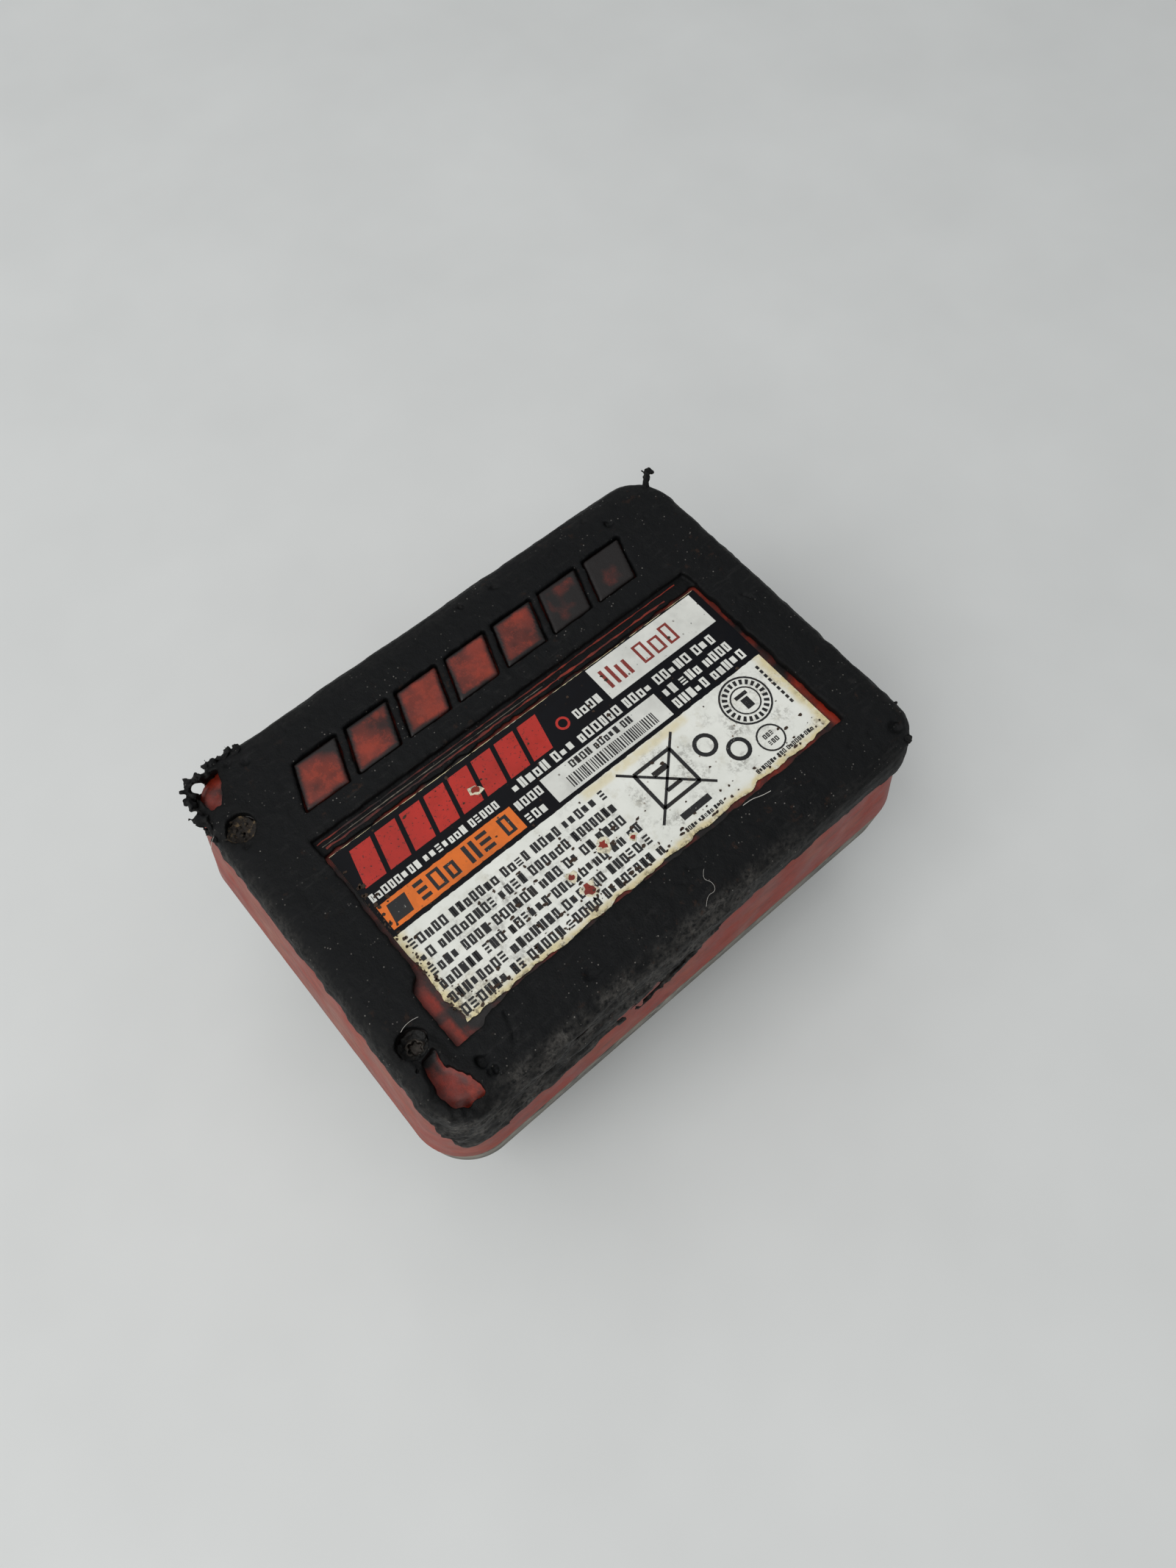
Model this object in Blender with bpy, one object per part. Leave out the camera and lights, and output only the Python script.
"""Slide-on battery pack for a cordless tool, lying upside down.

The base, with its rubber boot and label, faces +Z, and the tower that slides
into the tool rests on Z = 0. X runs along the pack and along the slide
direction, and the release latch is at the +X end. Dimensions are millimetres
until new_object turns them into metres.
"""

import math

import bpy
import bmesh

MM = 0.001
GAP = 0.3
SMOOTH_ANGLE = math.radians(35)

# Housing
SEAM_HALF_X = 61.35
SEAM_HALF_Y = 43.6
SEAM_RADIUS = 11.2
SEAM_Z = 39.5
RIM_GAP = 0.4
CORNER_STEPS = 5
CORNER_SHRINK = 0.6
WALL_FLARE = 0.165
BASE_Z = 63.9
WALL = 2.5
DECK_Z = 13.0
# Profiles as (height, inset from the seam's outline), from mid inside to mid outside
LOWER_INSIDE = ((61.4, 9.0), (61.0, 7.0), (59.5, 5.8), (39.9, 2.5))
LOWER_OUTSIDE = ((39.9, 0.0), (60.5, 3.4), (62.3, 4.1), (63.4, 5.2), (63.9, 6.9))
UPPER_INSIDE = ((15.5, 12.5), (17.2, 8.6), (20.0, 6.0), (25.0, 3.9), (30.0, 3.0), (39.1, 2.7))
UPPER_OUTSIDE = ((39.1, 0.15), (30.0, 0.5), (24.0, 1.4), (18.5, 3.6), (15.0, 6.2), (13.6, 8.2), (13.0, 10.5))
GASKET_INSETS = (0.35, 2.2)
GASKET_HALF_HEIGHT = 0.2

# Tongues of the lower case that hook into the upper case at the +X end
TONGUE_X = (56.3, 58.2)
TONGUE_Z = (33.5, 48.5)
TONGUE_YS = ((-29.0, -19.0), (19.0, 29.0))

# Rubber boot
BOOT_TOP_Z = 66.0
SKIRT_LOW_Z = 51.5
SKIRT_SIDE_Z = 54.5
SKIRT_HIGH_Z = 58.5
SKIRT_STEP_X = (-9.0, 17.0)
BOOT_INSIDE = ((64.2, 6.8), (63.65, 4.98), (62.45, 3.82), (60.55, 3.1))
BOOT_OUTSIDE = ((62.0, 2.15), (63.9, 2.75), (65.2, 3.9), (65.85, 5.6), (66.0, 7.5))
SKIRT_INSETS = (3.0, 1.9)
FLARE_REFERENCE_Z = 60.0
FLARE_REACH = 9.0
BOOT_SIDE_STEPS = 6

# Label and its window
LABEL_LOW = (-43.75, -27.0)
LABEL_HIGH = (46.25, 12.5)
LABEL_THICKNESS = 0.25
LABEL_LIFT = 0.2
LABEL_RADIUS = 0.8
WINDOW_LOW = (-45.75, -28.5)
WINDOW_HIGH = (48.75, 16.5)
WINDOW_RADIUS = 2.0

# Raised slanted pads that show through the boot
PAD_COUNT = 7
PAD_PITCH = 11.9
PAD_WIDTH = 9.4
PAD_FIRST_X = -35.2
PAD_LOW_Y = 22.0
PAD_HIGH_Y = 31.5
PAD_SLANT = 3.4
PAD_TOP_Z = 65.6

# Worn holes in the boot's left corners, as points round each one
WORN_BACK = ((-55.6, 33.0), (-52.4, 32.4), (-49.6, 35.2), (-48.4, 39.4), (-51.4, 40.6), (-54.6, 38.4))
WORN_FRONT = (
    (-52.6, -27.6),
    (-48.6, -27.2),
    (-46.6, -32.6),
    (-44.6, -37.0),
    (-48.6, -39.6),
    (-53.4, -37.6),
    (-54.8, -32.0),
)

# Case screws
CASE_SCREWS = {"back": (-52.75, 27.0), "front": (-52.45, -24.5)}
SCREW_HOLE_RADIUS = 3.1
SCREW_HEAD_RADIUS = 2.8
SCREW_SEAT_Z = 59.9
SCREW_TIP_Z = 28.0
SHANK_RADIUS = 1.45
SHANK_HOLE_RADIUS = 1.8
SHANK_HOLE_END_Z = 26.0
LOWER_BOSS = ((3.4, 39.9), (3.4, 57.0), (4.2, 57.8), (4.2, 62.0))
UPPER_BOSS = ((3.5, 18.0), (3.5, 39.1))
DRIVE_HALF_LENGTH = 1.5
DRIVE_HALF_WIDTH = 0.3
DRIVE_DEPTH = 1.0

# Tower with its rail grooves and terminal slots
TOWER_CENTRE_X = 2.0
TOWER_HALF_X = 40.0
TOWER_HALF_Y = 27.0
TOWER_RADIUS = 4.0
TOWER_EDGE = ((0.0, 0.9), (0.3, 0.3), (0.9, 0.0), (14.0, 0.0))
CUT_PAST = 2.0
GROOVE_LOW_Z = 4.3
GROOVE_HIGH_Z = 9.7
GROOVE_DEPTH = 5.0
GROOVE_STOP_X = 36.0
CAVITY_HALF_Y = 19.5
SLOT_YS = (-14.0, -7.0, 0.0, 7.0, 14.0)
SLOT_WIDTH = 2.2
SLOT_END_X = -12.0
SLOT_TOP_Z = 10.5

# Cells: two layers of five, lying along Y
CELL_RADIUS = 9.1
CELL_HALF_LENGTH = 32.4
CELL_PITCH_X = 19.1
CELL_COLUMNS = 5
CELL_LAYERS = (31.6, 51.0)
HOLDER_HALF_X = 48.0
HOLDER_LOW_Y = 20.0
HOLDER_HIGH_Y = 31.0
HOLDER_LOW_Z = 21.6
HOLDER_HIGH_Z = 61.1
HOLDER_CLEARANCE = 0.2
STRIP_THICKNESS = 0.3
STRIP_HALF_WIDTH = 4.5
STRIP_Y = CELL_HALF_LENGTH + GAP

# Main board
BOARD_LOW = (-46.0, -31.0)
BOARD_HIGH = (43.0, 31.0)
BOARD_Z = 18.0
BOARD_THICKNESS = 1.6
BOARD_SCREW_SPOTS = ((-42.0, -26.5), (-42.0, 26.5), (37.0, -26.5), (37.0, 26.5))
BOARD_POST_RADIUS = 2.6
BOARD_POST_HOLE_RADIUS = 1.3
BOARD_POST_HOLE_Z = 14.5
BOARD_HOLE_RADIUS = 1.4
BLOCK_LOW = (-33.0, -18.0, 13.6)
BLOCK_HIGH = (-8.0, 18.0, 17.7)
CONTACT_X = (-30.0, -14.0)

# Release latch, which travels along +Z
LATCH_X = 47.0
LATCH_HOOK = (44.5, 49.5, 8.0)
LATCH_HOOK_TIP_Z = 8.6
LATCH_RAMP_Z = 11.4
LATCH_PLATE_X = (44.2, 54.0)
LATCH_PLATE_HALF_Y = 11.0
LATCH_PLATE_Z = (17.3, 19.3)
LATCH_PAD_HALF_Y = 12.0
LATCH_PAD_Z = (17.5, 27.0)
LATCH_PAD_BACK_X = 53.2
LATCH_PAD_FACE_X = 60.6
LATCH_RIB_COUNT = 4
LATCH_RIB_PITCH = 2.1
LATCH_RIB_HEIGHT = 0.9
LATCH_APRON_X = (56.0, 57.2)
LATCH_APRON_Z = (26.0, 37.2)
LATCH_WINDOW_X = (52.0, 70.0)
LATCH_TRAVEL = 4.5
LATCH_CLEARANCE = 0.4
LATCH_SPRINGS = {"back": 8.0, "front": -8.0}
SPRING_X = 50.4
SPRING_RADIUS = 1.6
SPRING_WIRE_RADIUS = 0.25
SPRING_TURNS = 7
RETAINER_X = (48.6, 55.6)
RETAINER_HALF_Y = 18.6
RETAINER_Z = (32.6, 34.2)
RETAINER_POST = (53.4, 17.0)
RETAINER_POST_RADIUS = 2.2
RETAINER_POST_Z = 19.0

# Charge gauge in the -X end wall
GAUGE_Z = 32.5
GAUGE_BUTTON_Y = 9.0
GAUGE_BUTTON_RADIUS = 3.6
GAUGE_LED_YS = (-13.5, -9.2, -4.9, -0.6)
GAUGE_LENS = (-16.0, 2.0, 2.0)
GAUGE_HOLE_X = (-64.0, -56.0)
GAUGE_LENS_X = (-61.1, -58.6)
GAUGE_BUTTON_X = -61.3
GAUGE_FLANGE_X = (-57.75, -57.3)
GAUGE_BOARD_X = (-54.6, -53.8)
GAUGE_BOARD_Y = (-17.0, 15.0)
GAUGE_BOARD_Z = (27.0, 38.4)
LED_HALF_SIDE = 0.8
LED_HEIGHT = 1.1
SWITCH_HALF_SIDE = 2.5
SWITCH_HEIGHT = 1.6
PLUNGER_REACH = 0.35
PLUNGER_RADIUS = 1.0
SOLDER_GAP = 0.2

# Wires and leads
LEAD_HALF_WIDTH = 2.5
LEAD_TOP_Z = 40.0
LEAD_FOOT_Y = 29.8
SENSE_WIRE_RADIUS = 0.5

FINISHES = {
    "red_plastic": ((0.36, 0.055, 0.035), 0.5, 0.0),
    "black_rubber": ((0.022, 0.023, 0.024), 0.75, 0.0),
    "printed_label": ((0.7, 0.7, 0.66), 0.4, 0.0),
    "dark_plastic": ((0.04, 0.038, 0.035), 0.55, 0.0),
    "steel": ((0.32, 0.31, 0.3), 0.4, 1.0),
    "smoked_lens": ((0.05, 0.05, 0.055), 0.1, 0.0),
    "led": ((0.1, 0.75, 0.25), 0.3, 0.0),
    "circuit_board": ((0.01, 0.13, 0.05), 0.4, 0.0),
    "copper_alloy": ((0.72, 0.5, 0.25), 0.3, 1.0),
    "cell_wrap": ((0.03, 0.2, 0.42), 0.35, 0.0),
    "holder_plastic": ((0.6, 0.6, 0.56), 0.6, 0.0),
    "nickel": ((0.62, 0.6, 0.56), 0.35, 1.0),
    "wire_insulation": ((0.5, 0.04, 0.03), 0.5, 0.0),
    "chip": ((0.015, 0.015, 0.017), 0.4, 0.0),
    "foam": ((0.05, 0.05, 0.055), 0.95, 0.0),
}


# ---- Shapes, each a pair of points and faces -------------------------------


def rounded_outline(low, high, radius, corner_steps=CORNER_STEPS, side_steps=1):
    """Points of a rounded rectangle, anticlockwise from its +X side."""
    points = []
    corners = ((high[0], high[1], 0), (low[0], high[1], 90), (low[0], low[1], 180), (high[0], low[1], 270))
    for corner_x, corner_y, start in corners:
        arc_x = corner_x - math.copysign(radius, corner_x - (low[0] + high[0]) / 2)
        arc_y = corner_y - math.copysign(radius, corner_y - (low[1] + high[1]) / 2)
        for step in range(corner_steps + 1):
            angle = math.radians(start + 90 * step / corner_steps)
            points.append((arc_x + radius * math.cos(angle), arc_y + radius * math.sin(angle)))
    if side_steps == 1:
        return points
    outline = []
    per_corner = corner_steps + 1
    for index, point in enumerate(points):
        outline.append(point)
        if index % per_corner != per_corner - 1:
            continue
        after = points[(index + 1) % len(points)]
        for step in range(1, side_steps):
            part = step / side_steps
            outline.append((point[0] + (after[0] - point[0]) * part, point[1] + (after[1] - point[1]) * part))
    return outline


def seam_outline(inset, side_steps=1):
    """The housing's outline at the seam, moved inwards by inset."""
    half_x = SEAM_HALF_X - inset
    half_y = SEAM_HALF_Y - inset
    radius = SEAM_RADIUS - CORNER_SHRINK * inset
    return rounded_outline((-half_x, -half_y), (half_x, half_y), radius, side_steps=side_steps)


def smooth_outline(points, steps=4):
    """A closed Catmull-Rom curve through the points."""
    outline = []
    count = len(points)
    for index in range(count):
        before, start, end, after = (points[(index + shift) % count] for shift in (-1, 0, 1, 2))
        for step in range(steps):
            part = step / steps
            spot = []
            for a, b, c, d in zip(before, start, end, after):
                bend = 2 * a - 5 * b + 4 * c - d
                twist = 3 * b - a - 3 * c + d
                spot.append(0.5 * (2 * b + (c - a) * part + bend * part**2 + twist * part**3))
            outline.append(tuple(spot))
    return outline


def loft(rings):
    """A closed solid through rings of equal length, capped at both ends."""
    count = len(rings[0])
    points = [point for ring in rings for point in ring]
    faces = []
    for row in range(len(rings) - 1):
        for index in range(count):
            after = (index + 1) % count
            lower = row * count
            upper = lower + count
            faces.append((lower + index, lower + after, upper + after, upper + index))
    faces.append(tuple(reversed(range(count))))
    faces.append(tuple(range(len(points) - count, len(points))))
    return points, faces


def placed(across, up, height, axis):
    """A point given across, up and along an axis, in X, Y and Z."""
    if axis == "X":
        return (height, across, up)
    if axis == "Y":
        return (up, height, across)
    return (across, up, height)


def extruded(outline, low, high, axis="Z"):
    """A prism. The outline is in (Y, Z) for axis X, (Z, X) for axis Y and (X, Y) for axis Z."""
    return loft([[placed(a, b, height, axis) for a, b in outline] for height in (low, high)])


def box(low, high):
    outline = ((low[0], low[1]), (high[0], low[1]), (high[0], high[1]), (low[0], high[1]))
    return extruded(outline, low[2], high[2])


def turned(profile, centre, axis="Z", steps=20):
    """A turned solid. The profile is (radius, distance along the axis) from one end to the other."""
    rings = []
    for radius, along in profile:
        ring = []
        for step in range(steps):
            angle = 2 * math.pi * step / steps
            across = radius * math.cos(angle)
            up = radius * math.sin(angle)
            point = placed(across, up, along, axis)
            ring.append(tuple(value + shift for value, shift in zip(point, centre)))
        rings.append(ring)
    return loft(rings)


def combined(solids):
    """Several solids as one set of points and faces."""
    points = []
    faces = []
    for solid_points, solid_faces in solids:
        start = len(points)
        points.extend(solid_points)
        faces.extend(tuple(start + index for index in face) for face in solid_faces)
    return points, faces


# ---- Objects ----------------------------------------------------------------


def clear_scene():
    for obj in list(bpy.data.objects):
        bpy.data.objects.remove(obj)


def finish_material(name, finish):
    colour, roughness, metallic = FINISHES[finish]
    made = bpy.data.materials.new(name + "_" + finish)
    made.use_nodes = True
    shader = made.node_tree.nodes["Principled BSDF"]
    shader.inputs["Base Color"].default_value = (*colour, 1.0)
    shader.inputs["Roughness"].default_value = roughness
    shader.inputs["Metallic"].default_value = metallic
    return made


def new_object(name, solid, finish=None, origin=(0.0, 0.0, 0.0)):
    """An object of this solid, in metres, with its origin at the given point."""
    points, faces = solid
    mesh = bpy.data.meshes.new(name)
    moved = [[(value - start) * MM for value, start in zip(point, origin)] for point in points]
    mesh.from_pydata(moved, [], faces)
    shell = bmesh.new()
    shell.from_mesh(mesh)
    bmesh.ops.recalc_face_normals(shell, faces=shell.faces)
    shell.to_mesh(mesh)
    shell.free()
    mesh.shade_smooth()
    mesh.set_sharp_from_angle(angle=SMOOTH_ANGLE)
    obj = bpy.data.objects.new(name, mesh)
    obj.location = [value * MM for value in origin]
    bpy.context.scene.collection.objects.link(obj)
    if finish:
        mesh.materials.append(finish_material(name, finish))
    return obj


def shape(target, solids, operation):
    """Joins the solids to the target, or cuts them from it, with one Boolean."""
    tool = new_object(f"{target.name}_{operation.lower()}_{len(target.modifiers)}", combined(solids))
    tool.hide_render = True
    tool.display_type = "WIRE"
    modifier = target.modifiers.new(tool.name, "BOOLEAN")
    modifier.operation = operation
    modifier.solver = "EXACT"
    modifier.object = tool


def join(target, *solids):
    for solid in solids:
        shape(target, [solid], "UNION")


def cut(target, *solids):
    shape(target, solids, "DIFFERENCE")


# ---- Housing ----------------------------------------------------------------


def ring_at(z, inset, side_steps):
    return [(x, y, z) for x, y in seam_outline(inset, side_steps)]


def screw_bore(spot, radius, low_z, high_z, steps=12):
    return turned(((radius, low_z), (radius, high_z)), (*spot, 0.0), steps=steps)


def pad_outline(index, grow):
    """A slanted bar, wider by grow on each side."""
    low_x = PAD_FIRST_X + index * PAD_PITCH
    left = low_x - grow
    right = low_x + PAD_WIDTH + grow
    low_y = PAD_LOW_Y - grow
    high_y = PAD_HIGH_Y + grow
    return ((left, low_y), (right, low_y), (right + PAD_SLANT, high_y), (left + PAD_SLANT, high_y))


def rings_of(profile, side_steps=1):
    return [ring_at(z, inset, side_steps) for z, inset in profile]


def make_lower_case():
    """The red half: a flared cup that opens towards -Z."""
    rim_z = SEAM_Z + RIM_GAP
    case = new_object("lower_case", loft(rings_of(LOWER_INSIDE + LOWER_OUTSIDE)), "red_plastic")
    for spot in CASE_SCREWS.values():
        join(case, turned(LOWER_BOSS, (*spot, 0.0)))
    for low_y, high_y in TONGUE_YS:
        join(case, box((TONGUE_X[0], low_y, TONGUE_Z[0]), (TONGUE_X[1], high_y, TONGUE_Z[1])))
    for index in range(PAD_COUNT):
        join(case, extruded(pad_outline(index, 0.0), BASE_Z - 1.0, PAD_TOP_Z))
    for spot in CASE_SCREWS.values():
        bore = ((SHANK_HOLE_RADIUS, rim_z - CUT_PAST), (SHANK_HOLE_RADIUS, SCREW_SEAT_Z))
        head = ((SCREW_HOLE_RADIUS, SCREW_SEAT_Z), (SCREW_HOLE_RADIUS, BOOT_TOP_Z))
        cut(case, turned(bore + head, (*spot, 0.0)))
    return case


def skirt_z(x, y):
    """Height of the boot's lower edge, which is lowest along the left of the front side."""
    start, end = SKIRT_STEP_X
    part = min(max((x - start) / (end - start), 0.0), 1.0)
    rise = part * part * (3 - 2 * part)
    front_z = SKIRT_LOW_Z + (SKIRT_HIGH_Z - SKIRT_LOW_Z) * rise
    frontness = min(max((-y - SEAM_HALF_Y / 2) / (SEAM_HALF_Y / 2 - 3.0), 0.0), 1.0)
    side_z = SKIRT_SIDE_Z + (SKIRT_HIGH_Z - SKIRT_SIDE_Z) * rise * 0.5
    return side_z + (front_z - side_z) * frontness


def skirt_ring(inset, side_steps):
    """The boot's lower edge, on the flared line that has this inset at the reference height."""
    ring = []
    low_outline = seam_outline(inset - FLARE_REACH * WALL_FLARE, side_steps)
    high_outline = seam_outline(inset, side_steps)
    for (low_x, low_y), (high_x, high_y) in zip(low_outline, high_outline):
        z = skirt_z(high_x, high_y)
        part = (FLARE_REFERENCE_Z - z) / FLARE_REACH
        ring.append((high_x + (low_x - high_x) * part, high_y + (low_y - high_y) * part, z))
    return ring


def make_rubber_boot():
    """The rubber guard over the base: its windows show the label, the pads and the screws."""
    rings = rings_of(BOOT_INSIDE, BOOT_SIDE_STEPS)
    rings += [skirt_ring(inset, BOOT_SIDE_STEPS) for inset in SKIRT_INSETS]
    rings += rings_of(BOOT_OUTSIDE, BOOT_SIDE_STEPS)
    boot = new_object("rubber_boot", loft(rings), "black_rubber")
    low_z = BASE_Z - 1.0
    high_z = BOOT_TOP_Z + 1.0
    window = rounded_outline(WINDOW_LOW, WINDOW_HIGH, WINDOW_RADIUS, corner_steps=3)
    cut(boot, extruded(window, low_z, high_z))
    cut(boot, *[extruded(pad_outline(index, GAP), low_z, high_z) for index in range(PAD_COUNT)])
    cut(boot, *[screw_bore(spot, SCREW_HOLE_RADIUS, low_z, high_z, 20) for spot in CASE_SCREWS.values()])
    worn_holes = (WORN_BACK, WORN_FRONT)
    cut(boot, *[extruded(smooth_outline(hole), FLARE_REFERENCE_Z, high_z) for hole in worn_holes])
    return boot


def make_rating_label():
    outline = rounded_outline(LABEL_LOW, LABEL_HIGH, LABEL_RADIUS, corner_steps=3)
    low_z = BASE_Z + LABEL_LIFT
    return new_object("rating_label", extruded(outline, low_z, low_z + LABEL_THICKNESS), "printed_label")


def make_seam_gasket():
    """A closed ring between the rims of the two halves."""
    outer, inner = GASKET_INSETS
    low_z = SEAM_Z - GASKET_HALF_HEIGHT
    high_z = SEAM_Z + GASKET_HALF_HEIGHT
    gasket = new_object("seam_gasket", loft(rings_of(((low_z, outer), (high_z, outer)))), "black_rubber")
    cut(gasket, loft(rings_of(((low_z - 1.0, inner), (high_z + 1.0, inner)))))
    return gasket


def tower_outline(inset):
    low = (TOWER_CENTRE_X - TOWER_HALF_X + inset, -TOWER_HALF_Y + inset)
    high = (TOWER_CENTRE_X + TOWER_HALF_X - inset, TOWER_HALF_Y - inset)
    return rounded_outline(low, high, TOWER_RADIUS - inset, corner_steps=4)


def tower_solid():
    return loft([[(x, y, z) for x, y in tower_outline(inset)] for z, inset in TOWER_EDGE])


def tower_cavity():
    low = (TOWER_CENTRE_X - TOWER_HALF_X + WALL, -CAVITY_HALF_Y)
    high = (TOWER_CENTRE_X + TOWER_HALF_X - WALL, CAVITY_HALF_Y)
    return extruded(rounded_outline(low, high, 2.0, corner_steps=3), WALL, DECK_Z + WALL + 1.0)


def rail_grooves():
    start_x = TOWER_CENTRE_X - TOWER_HALF_X - CUT_PAST
    grooves = []
    for side in (-1, 1):
        near = side * (TOWER_HALF_Y - GROOVE_DEPTH)
        far = side * (TOWER_HALF_Y + CUT_PAST)
        low = (start_x, min(near, far), GROOVE_LOW_Z)
        high = (GROOVE_STOP_X, max(near, far), GROOVE_HIGH_Z)
        grooves.append(box(low, high))
    return grooves


def terminal_slots():
    start_x = TOWER_CENTRE_X - TOWER_HALF_X - CUT_PAST
    half = SLOT_WIDTH / 2
    return [box((start_x, y - half, -1.0), (SLOT_END_X, y + half, SLOT_TOP_Z)) for y in SLOT_YS]


def latch_openings():
    """The hook's hole in the deck, and the window for the push pad in the end wall."""
    hook_low, hook_high, hook_half = LATCH_HOOK
    room = LATCH_CLEARANCE
    hole_low = (hook_low - room, -hook_half - room, DECK_Z - CUT_PAST)
    hole = box(hole_low, (hook_high + room, hook_half + room, DECK_Z + WALL + 1.0))
    half = LATCH_PAD_HALF_Y + room
    window_low = (LATCH_WINDOW_X[0], -half, LATCH_PAD_Z[0] - room)
    window = box(window_low, (LATCH_WINDOW_X[1], half, LATCH_PAD_Z[1] + LATCH_TRAVEL + room))
    return [hole, window]


def gauge_openings():
    low_y, high_y, half_z = GAUGE_LENS
    start_x, end_x = GAUGE_HOLE_X
    room = GAP
    lens_low = (start_x, low_y - room, GAUGE_Z - half_z - room)
    lens = box(lens_low, (end_x, high_y + room, GAUGE_Z + half_z + room))
    bore_radius = GAUGE_BUTTON_RADIUS + room
    button = turned(((bore_radius, start_x), (bore_radius, end_x)), (0.0, GAUGE_BUTTON_Y, GAUGE_Z), "X")
    return [lens, button]


def make_upper_case():
    """The dark half: a cup that opens towards +Z, with the slide tower under its deck."""
    case = new_object("upper_case", loft(rings_of(UPPER_INSIDE + UPPER_OUTSIDE)), "dark_plastic")
    join(case, tower_solid())
    for spot in CASE_SCREWS.values():
        join(case, turned(UPPER_BOSS, (*spot, 0.0)))
    post_x, post_y = RETAINER_POST
    post = ((RETAINER_POST_RADIUS, RETAINER_POST_Z), (RETAINER_POST_RADIUS, RETAINER_Z[0] - GAP))
    for side in (-1, 1):
        join(case, turned(post, (post_x, side * post_y, 0.0), steps=12))
    board_post = ((BOARD_POST_RADIUS, DECK_Z + 1.5), (BOARD_POST_RADIUS, BOARD_Z - GAP))
    for spot in BOARD_SCREW_SPOTS:
        join(case, turned(board_post, (*spot, 0.0), steps=12))
    cut(case, tower_cavity())
    cut(case, *rail_grooves(), *terminal_slots())
    cut(case, *latch_openings(), *gauge_openings())
    for spot in CASE_SCREWS.values():
        cut(case, screw_bore(spot, SHANK_HOLE_RADIUS, SHANK_HOLE_END_Z, SEAM_Z + CUT_PAST))
    for spot in BOARD_SCREW_SPOTS:
        cut(case, screw_bore(spot, BOARD_POST_HOLE_RADIUS, BOARD_POST_HOLE_Z, BOARD_Z))
    return case


def make_case_screw(side):
    """A pan-head screw with a cross-shaped drive recess."""
    spot = CASE_SCREWS[side]
    head_low = SCREW_SEAT_Z + 0.2
    profile = (
        (0.6, SCREW_TIP_Z),
        (SHANK_RADIUS, SCREW_TIP_Z + 2.0),
        (SHANK_RADIUS, head_low),
        (SCREW_HEAD_RADIUS, head_low),
        (SCREW_HEAD_RADIUS, head_low + 1.1),
        (SCREW_HEAD_RADIUS - 0.7, head_low + 1.7),
    )
    screw = new_object(f"case_screw_{side}", turned(profile, (*spot, 0.0), steps=16), "steel")
    x, y = spot
    top = head_low + CUT_PAST
    recess = head_low + 1.7 - DRIVE_DEPTH
    long = DRIVE_HALF_LENGTH
    short = DRIVE_HALF_WIDTH
    cut(screw, box((x - long, y - short, recess), (x + long, y + short, top)))
    cut(screw, box((x - short, y - long, recess), (x + short, y + long, top)))
    return screw


# ---- Release latch ----------------------------------------------------------


def make_release_latch():
    """A hook through the deck, a plate for the springs, a ribbed push pad and an apron that keeps
    its window closed, as one moulding."""
    low_x, high_x, half_y = LATCH_HOOK
    low_z, high_z = LATCH_PLATE_Z
    tip_z = LATCH_HOOK_TIP_Z
    top_z = low_z + 0.5
    hook = [(top_z, low_x), (top_z, high_x), (tip_z, high_x), (tip_z, high_x - 1.6), (LATCH_RAMP_Z, low_x)]
    origin = (LATCH_X, 0.0, low_z)
    latch = new_object("release_latch", extruded(hook, -half_y, half_y, "Y"), "dark_plastic", origin)
    plate_low = (LATCH_PLATE_X[0], -LATCH_PLATE_HALF_Y, low_z)
    join(latch, box(plate_low, (LATCH_PLATE_X[1], LATCH_PLATE_HALF_Y, high_z)))
    pad = rounded_outline((-LATCH_PAD_HALF_Y, LATCH_PAD_Z[0]), (LATCH_PAD_HALF_Y, LATCH_PAD_Z[1]), 1.5, 3)
    rib_x = LATCH_PAD_FACE_X - 0.8
    join(latch, extruded(pad, LATCH_PAD_BACK_X, rib_x, "X"))
    apron_half = LATCH_PAD_HALF_Y - 0.5
    apron_low = (LATCH_APRON_X[0], -apron_half, LATCH_APRON_Z[0])
    join(latch, box(apron_low, (LATCH_APRON_X[1], apron_half, LATCH_APRON_Z[1])))
    rib_half = LATCH_PAD_HALF_Y - 2.5
    for index in range(LATCH_RIB_COUNT):
        rib_z = LATCH_PAD_Z[0] + 1.6 + index * LATCH_RIB_PITCH
        rib_low = (rib_x - 0.6, -rib_half, rib_z)
        join(latch, box(rib_low, (LATCH_PAD_FACE_X, rib_half, rib_z + LATCH_RIB_HEIGHT)))
    return latch


def wire_object(name, route, radius, finish, origin):
    """A round wire along the route, whose points are measured from the origin."""
    curve = bpy.data.curves.new(name, "CURVE")
    curve.dimensions = "3D"
    curve.bevel_depth = radius * MM
    curve.bevel_resolution = 1
    curve.use_fill_caps = True
    spline = curve.splines.new("POLY")
    spline.points.add(len(route) - 1)
    for point, (x, y, z) in zip(spline.points, route):
        point.co = (x * MM, y * MM, z * MM, 1.0)
    wire = bpy.data.objects.new(name, curve)
    wire.location = [value * MM for value in origin]
    curve.materials.append(finish_material(name, finish))
    bpy.context.scene.collection.objects.link(wire)
    return wire


def make_latch_spring(side):
    """A compression spring between the latch plate and the retainer."""
    low_z = LATCH_PLATE_Z[1] + GAP + SPRING_WIRE_RADIUS
    high_z = RETAINER_Z[0] - GAP - SPRING_WIRE_RADIUS
    steps_per_turn = 9
    steps = SPRING_TURNS * steps_per_turn
    route = []
    for step in range(steps + 1):
        angle = 2 * math.pi * step / steps_per_turn
        x = SPRING_RADIUS * math.cos(angle)
        y = SPRING_RADIUS * math.sin(angle)
        route.append((x, y, (high_z - low_z) * step / steps))
    origin = (SPRING_X, LATCH_SPRINGS[side], low_z)
    return wire_object(f"latch_spring_{side}", route, SPRING_WIRE_RADIUS, "steel", origin)


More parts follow.
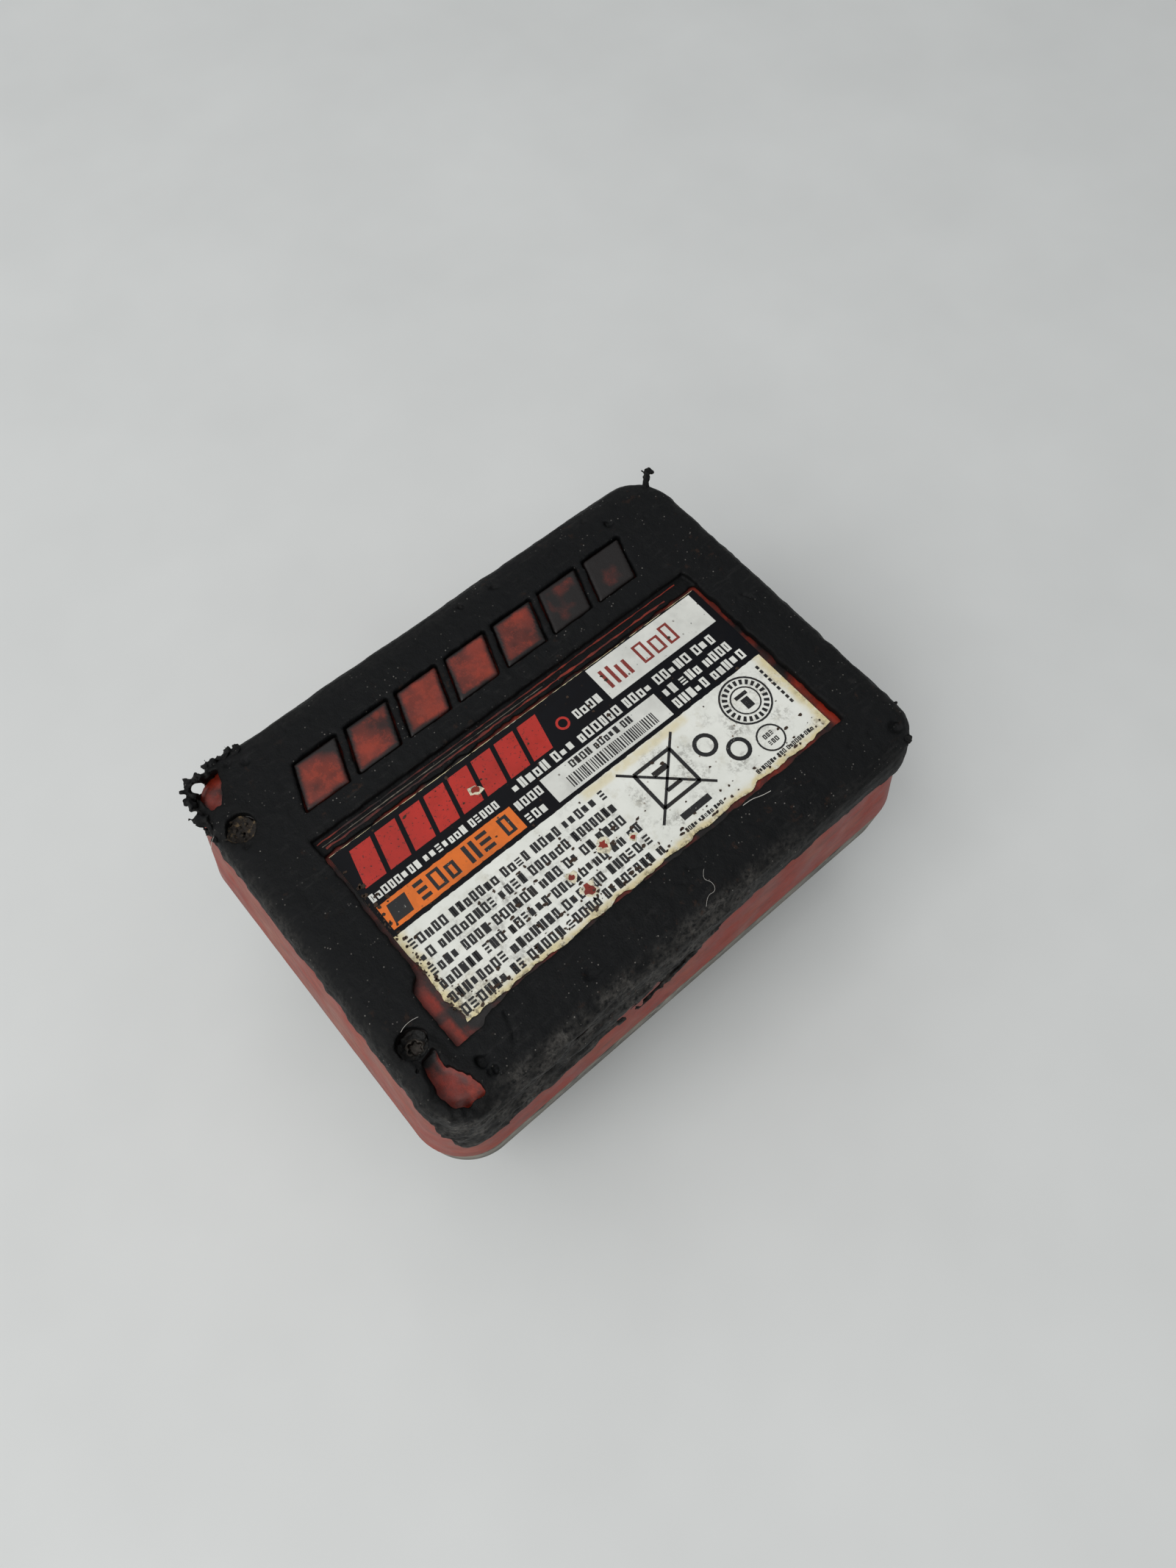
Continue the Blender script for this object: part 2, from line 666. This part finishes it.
def make_latch_retainer():
    low = (RETAINER_X[0], -RETAINER_HALF_Y)
    high = (RETAINER_X[1], RETAINER_HALF_Y)
    outline = rounded_outline(low, high, 1.5, corner_steps=3)
    return new_object("latch_retainer", extruded(outline, *RETAINER_Z), "steel")


# ---- Charge gauge -----------------------------------------------------------


def make_gauge_button():
    """A round cap in the wall with a wider flange inside, pressed along +X."""
    start, end = (x - GAUGE_BUTTON_X for x in GAUGE_FLANGE_X)
    flange_radius = GAUGE_BUTTON_RADIUS + 1.1
    profile = (
        (GAUGE_BUTTON_RADIUS - 0.4, 0.0),
        (GAUGE_BUTTON_RADIUS, 0.4),
        (GAUGE_BUTTON_RADIUS, start),
        (flange_radius, start),
        (flange_radius, end),
    )
    centre = (GAUGE_BUTTON_X, GAUGE_BUTTON_Y, GAUGE_Z)
    return new_object("gauge_button", turned(profile, centre, "X"), "black_rubber", centre)


def make_gauge_lens():
    low_y, high_y, half_z = GAUGE_LENS
    outline = rounded_outline((low_y, GAUGE_Z - half_z), (high_y, GAUGE_Z + half_z), 0.2, corner_steps=2)
    return new_object("gauge_lens", extruded(outline, *GAUGE_LENS_X, "X"), "smoked_lens")


def on_gauge_board(y, half_side, height):
    """A square block on the gauge board's outer face."""
    face_x = GAUGE_BOARD_X[0] - SOLDER_GAP
    low = (face_x - height, y - half_side, GAUGE_Z - half_side)
    return box(low, (face_x, y + half_side, GAUGE_Z + half_side))


def make_gauge_led(number, y):
    return new_object(f"gauge_led_{number}", on_gauge_board(y, LED_HALF_SIDE, LED_HEIGHT), "led")


def make_gauge_switch():
    """The tact switch, with a round plunger that the button's flange pushes."""
    block = on_gauge_board(GAUGE_BUTTON_Y, SWITCH_HALF_SIDE, SWITCH_HEIGHT)
    switch = new_object("gauge_switch", block, "steel")
    face_x = GAUGE_BOARD_X[0] - SOLDER_GAP - SWITCH_HEIGHT
    plunger = ((PLUNGER_RADIUS, face_x - PLUNGER_REACH), (PLUNGER_RADIUS, face_x + 0.5))
    join(switch, turned(plunger, (0.0, GAUGE_BUTTON_Y, GAUGE_Z), "X", 16))
    return switch


def make_gauge_board():
    low, high = zip(GAUGE_BOARD_X, GAUGE_BOARD_Y, GAUGE_BOARD_Z)
    return new_object("gauge_board", box(low, high), "circuit_board")


# ---- Cells ------------------------------------------------------------------


def column_x(column):
    return (column - (CELL_COLUMNS - 1) / 2) * CELL_PITCH_X


def make_cell(number, column, layer):
    """One round cell. Neighbouring columns face opposite ways, which puts them in series."""
    end = CELL_HALF_LENGTH
    profile = [
        (CELL_RADIUS, -end),
        (CELL_RADIUS, end - 3.4),
        (CELL_RADIUS - 0.5, end - 2.8),
        (CELL_RADIUS, end - 2.2),
        (CELL_RADIUS - 0.3, end - 0.6),
        (CELL_RADIUS - 2.0, end - 0.6),
        (CELL_RADIUS - 3.2, end - 1.2),
        (3.6, end - 1.2),
        (3.4, end),
    ]
    if column % 2:
        profile = [(radius, -along) for radius, along in profile]
    centre = (column_x(column), 0.0, CELL_LAYERS[layer])
    return new_object(f"cell_{number}", turned(profile, centre, "Y"), "cell_wrap", centre)


def make_cell_holder(side_name, side):
    """A spacer block that grips one end of every cell."""
    low_y, high_y = sorted((side * HOLDER_LOW_Y, side * HOLDER_HIGH_Y))
    low = (HOLDER_LOW_Z, -HOLDER_HALF_X)
    outline = rounded_outline(low, (HOLDER_HIGH_Z, HOLDER_HALF_X), 4.0, corner_steps=3)
    holder = new_object(f"cell_holder_{side_name}", extruded(outline, low_y, high_y, "Y"), "holder_plastic")
    radius = CELL_RADIUS + HOLDER_CLEARANCE
    profile = ((radius, low_y - 1.0), (radius, high_y + 1.0))
    bores = []
    for column in range(CELL_COLUMNS):
        for layer_z in CELL_LAYERS:
            bores.append(turned(profile, (column_x(column), 0.0, layer_z), "Y"))
    cut(holder, *bores)
    return holder


def make_nickel_strip(side_name, side, first, last):
    """A strip over the ends of one or two columns, on the front or the back."""
    near = side * STRIP_Y
    far = side * (STRIP_Y + STRIP_THICKNESS)
    low_y, high_y = sorted((near, far))
    low = (CELL_LAYERS[0] - STRIP_HALF_WIDTH, column_x(first) - STRIP_HALF_WIDTH)
    high = (CELL_LAYERS[1] + STRIP_HALF_WIDTH, column_x(last) + STRIP_HALF_WIDTH)
    outline = rounded_outline(low, high, 1.5, corner_steps=3)
    name = f"nickel_strip_{side_name}_{first + 1}"
    return new_object(name, extruded(outline, low_y, high_y, "Y"), "nickel")


def make_power_lead(name, side, column):
    """A flat lead from a strip's face down to the board, where it bends inwards."""
    outer = STRIP_Y + 2 * STRIP_THICKNESS + GAP
    inner = outer - STRIP_THICKNESS
    foot_z = BOARD_Z + BOARD_THICKNESS + GAP
    outline = (
        (side * outer, LEAD_TOP_Z),
        (side * outer, foot_z),
        (side * LEAD_FOOT_Y, foot_z),
        (side * LEAD_FOOT_Y, foot_z + STRIP_THICKNESS),
        (side * inner, foot_z + STRIP_THICKNESS),
        (side * inner, LEAD_TOP_Z),
    )
    x = column_x(column)
    return new_object(name, extruded(outline, x - LEAD_HALF_WIDTH, x + LEAD_HALF_WIDTH, "X"), "nickel")


def make_sense_wire(number, side, x):
    """A thin wire from a strip's face down to the board's edge."""
    top_y = STRIP_Y + STRIP_THICKNESS + 0.9
    low_z = BOARD_Z + BOARD_THICKNESS + 0.7
    path = [(top_y, 37.0), (top_y + 0.6, 33.0), (top_y + 0.7, 26.0)]
    path += [(33.2, 22.4), (31.6, low_z + 0.2), (30.0, low_z)]
    route = [(0.0, side * y, z) for y, z in path]
    return wire_object(f"sense_wire_{number}", route, SENSE_WIRE_RADIUS, "wire_insulation", (x, 0.0, 0.0))


def make_thermistor():
    """A bead between two cells, with a stem down to the board."""
    stem_z = BOARD_Z + BOARD_THICKNESS + GAP
    profile = ((0.5, stem_z), (0.5, 21.0), (1.5, 21.8), (2.0, 23.0), (1.5, 24.2), (0.4, 24.9))
    return new_object("thermistor", turned(profile, (CELL_PITCH_X / 2, 5.0, 0.0), steps=12), "chip")


def make_foam_pad():
    outline = rounded_outline((-40.0, -18.0), (40.0, 18.0), 2.0, corner_steps=3)
    return new_object("foam_pad", extruded(outline, 60.35, 61.1), "foam")


# ---- Main board -------------------------------------------------------------


def make_main_board():
    outline = rounded_outline(BOARD_LOW, BOARD_HIGH, 3.0, corner_steps=3)
    board = new_object("main_board", extruded(outline, BOARD_Z, BOARD_Z + BOARD_THICKNESS), "circuit_board")
    for spot in BOARD_SCREW_SPOTS:
        cut(board, screw_bore(spot, BOARD_HOLE_RADIUS, BOARD_Z - 1.0, BOARD_Z + CUT_PAST))
    return board


def make_board_screw(number, spot):
    head_z = BOARD_Z + BOARD_THICKNESS + 0.2
    shank = ((0.4, 15.0), (1.05, 15.8), (1.05, head_z))
    profile = (*shank, (2.2, head_z), (2.2, head_z + 0.7), (1.5, head_z + 1.2))
    return new_object(f"board_screw_{number}", turned(profile, (*spot, 0.0), steps=12), "steel")


def make_terminal_block():
    """The plastic carrier of the contacts, with a fence between each two."""
    block = new_object("terminal_block", box(BLOCK_LOW, BLOCK_HIGH), "dark_plastic")
    for low, high in zip(SLOT_YS, SLOT_YS[1:]):
        middle = (low + high) / 2
        fence_low = (BLOCK_LOW[0] + 2.0, middle - 0.6, 4.0)
        join(block, box(fence_low, (BLOCK_HIGH[0] - 3.0, middle + 0.6, BLOCK_LOW[2] + 0.4)))
    return block


def make_contact(number, y):
    """A forked spring contact: two leaves that grip the tool's blade."""
    outline = [(-1.7, 13.3), (-1.7, 4.6), (-2.1, 3.6), (-1.7, 3.4)]
    outline += [(-1.2, 4.6), (-0.7, 6.4), (-1.2, 8.0), (-1.2, 12.8)]
    outline += [(-across, up) for across, up in reversed(outline)]
    outline = [(y + across, up) for across, up in outline]
    return new_object(f"contact_{number}", extruded(outline, *CONTACT_X, "X"), "copper_alloy")


def make_board_parts():
    top = BOARD_Z - 0.2
    new_object("mosfet_1", box((6.0, -14.0, top - 2.2), (16.0, -5.0, top)), "chip")
    new_object("mosfet_2", box((6.0, 5.0, top - 2.2), (16.0, 14.0, top)), "chip")
    new_object("control_chip", box((21.0, -4.5, top - 1.1), (30.0, 4.5, top)), "chip")
    new_object("fuse", box((21.0, 9.0, top - 2.0), (31.0, 13.0, top)), "holder_plastic")


# ---- Assembly ---------------------------------------------------------------


def make_cell_block():
    number = 1
    for layer in range(len(CELL_LAYERS)):
        for column in range(CELL_COLUMNS):
            make_cell(number, column, layer)
            number += 1
    for side_name, side in (("front", -1), ("back", 1)):
        make_cell_holder(side_name, side)
    for side_name, side, first, last in (
        ("front", -1, 0, 0),
        ("front", -1, 1, 2),
        ("front", -1, 3, 4),
        ("back", 1, 0, 1),
        ("back", 1, 2, 3),
        ("back", 1, 4, 4),
    ):
        make_nickel_strip(side_name, side, first, last)
    make_power_lead("lead_negative", -1, 0)
    make_power_lead("lead_positive", 1, 4)
    half_pitch = CELL_PITCH_X / 2
    wire_spots = ((-1, -half_pitch), (-1, 3 * half_pitch), (1, -3 * half_pitch), (1, half_pitch))
    for number, (side, x) in enumerate(wire_spots, 1):
        make_sense_wire(number, side, x)
    make_thermistor()
    make_foam_pad()


def make_electronics():
    make_main_board()
    make_board_parts()
    make_terminal_block()
    for number, spot in enumerate(BOARD_SCREW_SPOTS, 1):
        make_board_screw(number, spot)
    for number, y in enumerate(SLOT_YS, 1):
        make_contact(number, y)


def make_latch_group():
    make_release_latch()
    for side in LATCH_SPRINGS:
        make_latch_spring(side)
    make_latch_retainer()


def make_gauge_group():
    make_gauge_button()
    make_gauge_lens()
    make_gauge_board()
    make_gauge_switch()
    for number, y in enumerate(GAUGE_LED_YS, 1):
        make_gauge_led(number, y)


def make_housing():
    make_lower_case()
    make_rubber_boot()
    make_rating_label()
    make_seam_gasket()
    make_upper_case()
    for side in CASE_SCREWS:
        make_case_screw(side)


def main():
    clear_scene()
    make_housing()
    make_latch_group()
    make_gauge_group()
    make_cell_block()
    make_electronics()


main()
